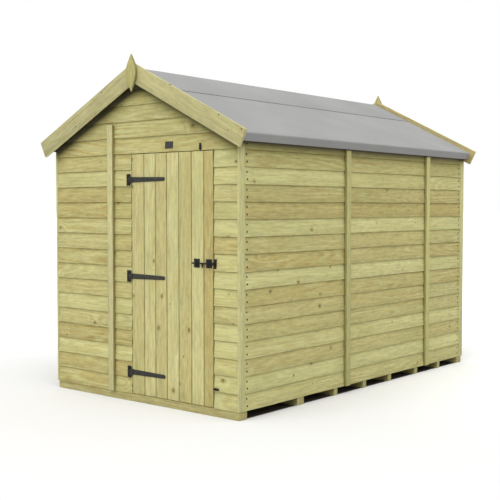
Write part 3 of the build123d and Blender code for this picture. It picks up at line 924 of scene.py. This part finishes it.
def round_head(sides, radius, depth, middle):
    """A disc along Z, open in edit mode with its top selected."""
    lay_down()
    bpy.ops.mesh.primitive_cylinder_add(vertices=sides, radius=radius, depth=depth, location=(0, 0, middle))
    head = bpy.context.object
    apply_place()
    mesh = edit(head)
    choose(head, mesh, mesh.faces, lambda face: face.normal.z > 0.9)
    return head


def step_in(width, rise):
    """Insets the selected top and moves it up or down."""
    bpy.ops.mesh.inset(thickness=width)
    bpy.ops.transform.translate(value=(0, 0, rise))


def screw_pattern():
    """A pan-head screw with a sunk middle, its head up along +Z."""
    head = round_head(16, 3.6 * MM, 1.8 * MM, 0.9 * MM)
    step_in(1.3 * MM, 0.7 * MM)
    step_in(1.0 * MM, -0.9 * MM)
    lay_down()
    return head


def nail_pattern(radius):
    """A nail's domed head, up along +Z."""
    head = round_head(10, radius, 1.4 * MM, 0.4 * MM)
    step_in(radius / 4, 0.4 * MM)
    lay_down()
    return head


def drive_in(pattern, name, places, body, material):
    """Copies of a screw or nail, each at a place with its head along a normal."""
    heads = []
    for place, normal in places:
        head = copy_of(pattern, "head")
        turn = Vector(UP).rotation_difference(Vector(normal)).to_matrix().to_4x4()
        spin = Matrix.Rotation(chance.uniform(0, pi), 4, "Z")
        head.data.transform(Matrix.Translation(place) @ turn @ spin)
        heads.append(head)
    whole = join(heads, name)
    smooth(whole, ROUND_ANGLE)
    settle(whole, body, material, "black_ironmongery")


def board_face(height):
    """How far behind the wall's outer plane a board's face lies at a height."""
    return LAP_STEP * (((height - CLAD_LOW) / BOARD_COVER) % 1.0)


def nail_the_sides():
    pattern = nail_pattern(SIDE_NAIL)
    places = []
    for side in (1, -1):
        for nail in range(SIDE_NAILS):
            level = CLAD_LOW + (nail // 2 + SIDE_NAIL_LEVELS[nail % 2]) * BOARD_COVER
            for end in SIDE_NAIL_ENDS:
                height = level + chance.uniform(-NAIL_STRAY, NAIL_STRAY) * MM
                x = side * (HALF_WIDTH - board_face(height))
                y = end + chance.uniform(-NAIL_STRAY, NAIL_STRAY) * MM
                places.append(((x, y, height), (side * cos(LEAN), 0, sin(LEAN))))
    drive_in(pattern, "side_wall_nails", places, "shed", nail_steel)
    bpy.data.objects.remove(pattern)


def nail_the_bargeboards():
    pattern = nail_pattern(BARGE_NAIL)
    places = []
    for face, out in ((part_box("right_bargeboards")[0][1], -1), (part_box("right_bargeboards")[1][1], 1)):
        for side, spots in BARGE_NAILS.items():
            for along, above in spots:
                spot = on_slope(along * MM, above * MM)
                places.append(((side * spot.x, face, spot.z), (0, out, 0)))
    drive_in(pattern, "bargeboard_nails", places, "shed", nail_steel)
    bpy.data.objects.remove(pattern)


def fix_plate():
    """A bare plate with a raised rim on the board over the door."""
    plate = block("bare_plate", PLATE_LOW, PLATE_HIGH)
    mesh = edit(plate)
    choose(plate, mesh, mesh.faces, lambda face: face.normal.y < -0.9)
    bpy.ops.mesh.inset(thickness=PLATE_RIM)
    bpy.ops.mesh.inset(thickness=PLATE_BEVEL)
    bpy.ops.transform.translate(value=(0, PLATE_SUNK, 0))
    lay_down()
    ease_edges(plate, PLATE_EASE)
    smooth(plate)
    spot = Matrix.Translation((0, Y_FRONT + board_face(PLATE_HEIGHT), PLATE_HEIGHT))
    plate.data.transform(spot @ Matrix.Rotation(-LEAN, 4, "X"))
    settle(plate, "shed", plate_grey, "black_ironmongery")


# Places of the screws in millimetres, along from the left of each fitting and up from its middle
STRAP_SCREWS = (96, 212, 354)
HINGE_PLATE_SCREW = 12
HINGE_PLATE_LIFTS = (-26, 0, 26)
HINGE_STEEL = 3
GUIDE_WIDE = 50
GUIDE_SCREWS = (9, 41)
GUIDE_LIFTS = (-21, 21)
KEEPER_LIFTS = (-22, 22)
BOLT_STEEL = 2.5


def fix_screws():
    """Screws through the hinges, the bolt's plates and its keeper."""
    pattern = screw_pattern()
    door_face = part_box("door_boards")[0][1]
    on_door, on_wall = [], []
    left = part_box("hinge_plates")[0][0]
    for height in HINGE_HEIGHTS:
        for along in STRAP_SCREWS:
            on_door.append(((left + along * MM, door_face - HINGE_STEEL * MM, height), OUTWARD))
        for lift in HINGE_PLATE_LIFTS:
            place = (left + HINGE_PLATE_SCREW * MM, Y_FRONT - HINGE_STEEL * MM, height + lift * MM)
            on_wall.append((place, OUTWARD))
    low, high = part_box("bolt_guides")
    middle = (low[2] + high[2]) / 2
    for left in (low[0], high[0] - GUIDE_WIDE * MM):
        for along in GUIDE_SCREWS:
            for lift in GUIDE_LIFTS:
                place = (left + along * MM, door_face - BOLT_STEEL * MM, middle + lift * MM)
                on_door.append((place, OUTWARD))
    low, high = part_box("bolt_keeper")
    for lift in KEEPER_LIFTS:
        place = ((low[0] + high[0]) / 2, Y_FRONT - BOLT_STEEL * MM, middle + lift * MM)
        on_wall.append((place, OUTWARD))
    drive_in(pattern, "door_fitting_screws", on_door, "door", black_steel)
    drive_in(pattern, "wall_fitting_screws", on_wall, "shed", black_steel)
    bpy.data.objects.remove(pattern)


def fix_ironmongery():
    dress_steel("hinge_straps", "door", black_steel)
    dress_steel("hinge_plates", "shed", bolt_steel)
    dress_steel("bolt_guides", "door", bolt_steel)
    dress_steel("bolt_keeper", "shed", bolt_steel)
    dress_steel("pad_bolt", "bolt", bolt_steel)
    dress_steel("button_screws", "shed", bolt_steel)
    dress_steel("top_turn_button", "top_button", bolt_steel)
    dress_steel("low_turn_button", "low_button", bolt_steel)


# Floor, framing and roof sheets, most of them seen only through the doorway

HIDDEN_EASE = 1.2 * MM
BEARER_EASE = 1.5 * MM


def shaded_side(face):
    """Sides of the bearers that lie under the floor, which get painted shade."""
    return abs(face.normal.y) > 0.7 and abs(face.calc_center_median().y) < Y_REAR - DOOR_BOARD


def dress_hidden():
    finishes = {
        "floor_deck": strand_board, "right_roof_sheet": strand_board, "left_roof_sheet": strand_board,
        "side_wall_studs": frame_z, "front_wall_studs": frame_z, "rear_wall_studs": frame_z,
        "side_wall_rails": frame_y, "front_wall_rails": frame_x, "rear_wall_rails": frame_x,
        # The eaves batten is near black, painted shade under the eaves
        "gable_rafters": frame_right, "eaves_battens": shaded_eaves_y, "roof_purlins": frame_y,
    }
    for node, material in (("door_ledges", frame_x), ("door_braces", frame_z)):
        dress_timber(node, material, "frame_timber", HIDDEN_EASE, "door")
    bearers = dress_timber("floor_bearers", bearer_x, "bearer_timber", BEARER_EASE)
    # Painted shade on the bearers' sides under the floor
    recolour(bearers, shaded_bearer_x, shaded_side)
    for node, material in finishes.items():
        slot = "strand_board" if material is strand_board else "frame_timber"
        dress_timber(node, material, slot, HIDDEN_EASE)


# Stage

SENSOR = 36.0
FOCAL_PIXELS = 940.8
PICTURE_PIXELS = 500.0
EYE_FROM_CORNER = (5.590, -4.466, 1.293)
CORNER_X = -0.8935
EYE_DOWN = 2.598
EYE_TURN = 39.758
DOOR_SUN = 1.95
DOOR_SUN_FROM = (0.2, -0.55, 0.81)
SIDE_SUN = 0.15
SIDE_SUN_FROM = (0.66, -0.05, 0.75)
SUN_SPREAD = radians(75)
WHITE = (1, 1, 1, 1)
SKY_RISE = (-0.1, 1.0)
SKY_LOW = 0.38
SKY_HIGH = 0.95
FLOOR_SIZE = 400
FLOOR_BOUNCE = (0.55, 0.55, 0.55)
# Floor seen near and far; the lighter far colour is painted light
FLOOR_NEAR = (0.77, 0.77, 0.77)
FLOOR_FAR = (0.96, 0.96, 0.96)
# Painted shadow under the shed and its soft edge
GROUND_SHADOW = (0.07, 0.066, 0.056)
GROUND_SHADOW_EDGE = (-6 * MM, -16 * MM)


def make_camera():
    """The photograph's view, measured from the front left foot of the boards."""
    lens = bpy.data.cameras.new("photo_view")
    lens.sensor_width = SENSOR
    lens.lens = SENSOR * FOCAL_PIXELS / PICTURE_PIXELS
    eye = bpy.data.objects.new("photo_view", lens)
    x, y, z = EYE_FROM_CORNER
    eye.location = (x + CORNER_X, y + Y_FRONT, z + CLAD_LOW)
    eye.rotation_euler = (radians(90 - EYE_DOWN), 0, radians(EYE_TURN))
    bpy.context.scene.collection.objects.link(eye)
    bpy.context.scene.camera = eye


def seen_ray(tree):
    """One for the rays that show the surroundings, nought for those that light the shed."""
    path = add_node(tree, "ShaderNodeLightPath").outputs
    mirror = maths(tree, "MAXIMUM", path["Is Glossy Ray"], path["Is Transmission Ray"])
    return maths(tree, "MAXIMUM", path["Is Camera Ray"], mirror)


def make_lights():
    """Pale surroundings, brightest overhead, and two very soft suns, over the door and over the side."""
    suns = (("door_sun", DOOR_SUN, DOOR_SUN_FROM), ("side_sun", SIDE_SUN, SIDE_SUN_FROM))
    for name, strength, way_from in suns:
        lamp = bpy.data.lights.new(name, "SUN")
        lamp.energy = strength
        lamp.angle = SUN_SPREAD
        sun = bpy.data.objects.new(name, lamp)
        sun.rotation_euler = Vector(way_from).to_track_quat("Z", "Y").to_euler()
        bpy.context.scene.collection.objects.link(sun)
    world = bpy.data.worlds.new("pale_surroundings")
    bpy.context.scene.world = world
    world.use_nodes = True
    tree = world.node_tree
    tree.nodes.clear()
    rise = parts_of(tree, add_node(tree, "ShaderNodeTexCoord").outputs["Generated"])["Z"]
    level = spread_of(tree, rise, *SKY_RISE, SKY_LOW, SKY_HIGH)
    sky = add_node(tree, "ShaderNodeBackground", {"Color": WHITE, "Strength": level})
    white = add_node(tree, "ShaderNodeBackground", {"Color": WHITE, "Strength": 1.0})
    mix = add_node(tree, "ShaderNodeMixShader", {0: seen_ray(tree), 1: sky.outputs[0], 2: white.outputs[0]})
    out = add_node(tree, "ShaderNodeOutputWorld")
    tree.links.new(mix.outputs[0], out.inputs[0])


def make_floor():
    """A pale floor, with painted light that makes it lighter towards the rear and a painted shadow under the
    shed.
    """
    lay_down()
    bpy.ops.mesh.primitive_plane_add(size=FLOOR_SIZE, location=(0, 0, 0))
    floor = bpy.context.object
    floor.name = "studio_floor"
    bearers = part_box("floor_bearers")
    material, tree, shader, place = new_finish("Studio floor")
    shader.inputs["Roughness"].default_value = 1.0
    shader.inputs["Specular IOR Level"].default_value = 0.0
    spot = parts_of(tree, place)
    # Painted light: the floor seen lighter towards the rear, lifting the shed's shadow there
    seen = blend_of(tree, spread_of(tree, spot["Y"], Y_FRONT, Y_REAR), FLOOR_NEAR, FLOOR_FAR)
    shade = blend_of(tree, seen_ray(tree), FLOOR_BOUNCE, seen)
    sides = []
    for axis, low, high in zip("XY", *bearers):
        off_middle = maths(tree, "SUBTRACT", spot[axis], (low + high) / 2)
        sides.append(maths(tree, "SUBTRACT", maths(tree, "ABSOLUTE", off_middle), (high - low) / 2))
    # Painted shadow on the ground under the shed
    shadowed = spread_of(tree, maths(tree, "MAXIMUM", *sides), *GROUND_SHADOW_EDGE)
    tree.links.new(blend_of(tree, shadowed, shade, GROUND_SHADOW), shader.inputs["Base Color"])
    floor.data.materials.append(material)


clad_sides()
clad_gables()
board_the_door()
dress_trim()
lay_felt()
lay_ridge_felt()
fix_ironmongery()
nail_the_sides()
nail_the_bargeboards()
fix_plate()
fix_screws()
dress_hidden()
make_camera()
make_lights()
make_floor()
bpy.context.scene.view_settings.view_transform = "Standard"
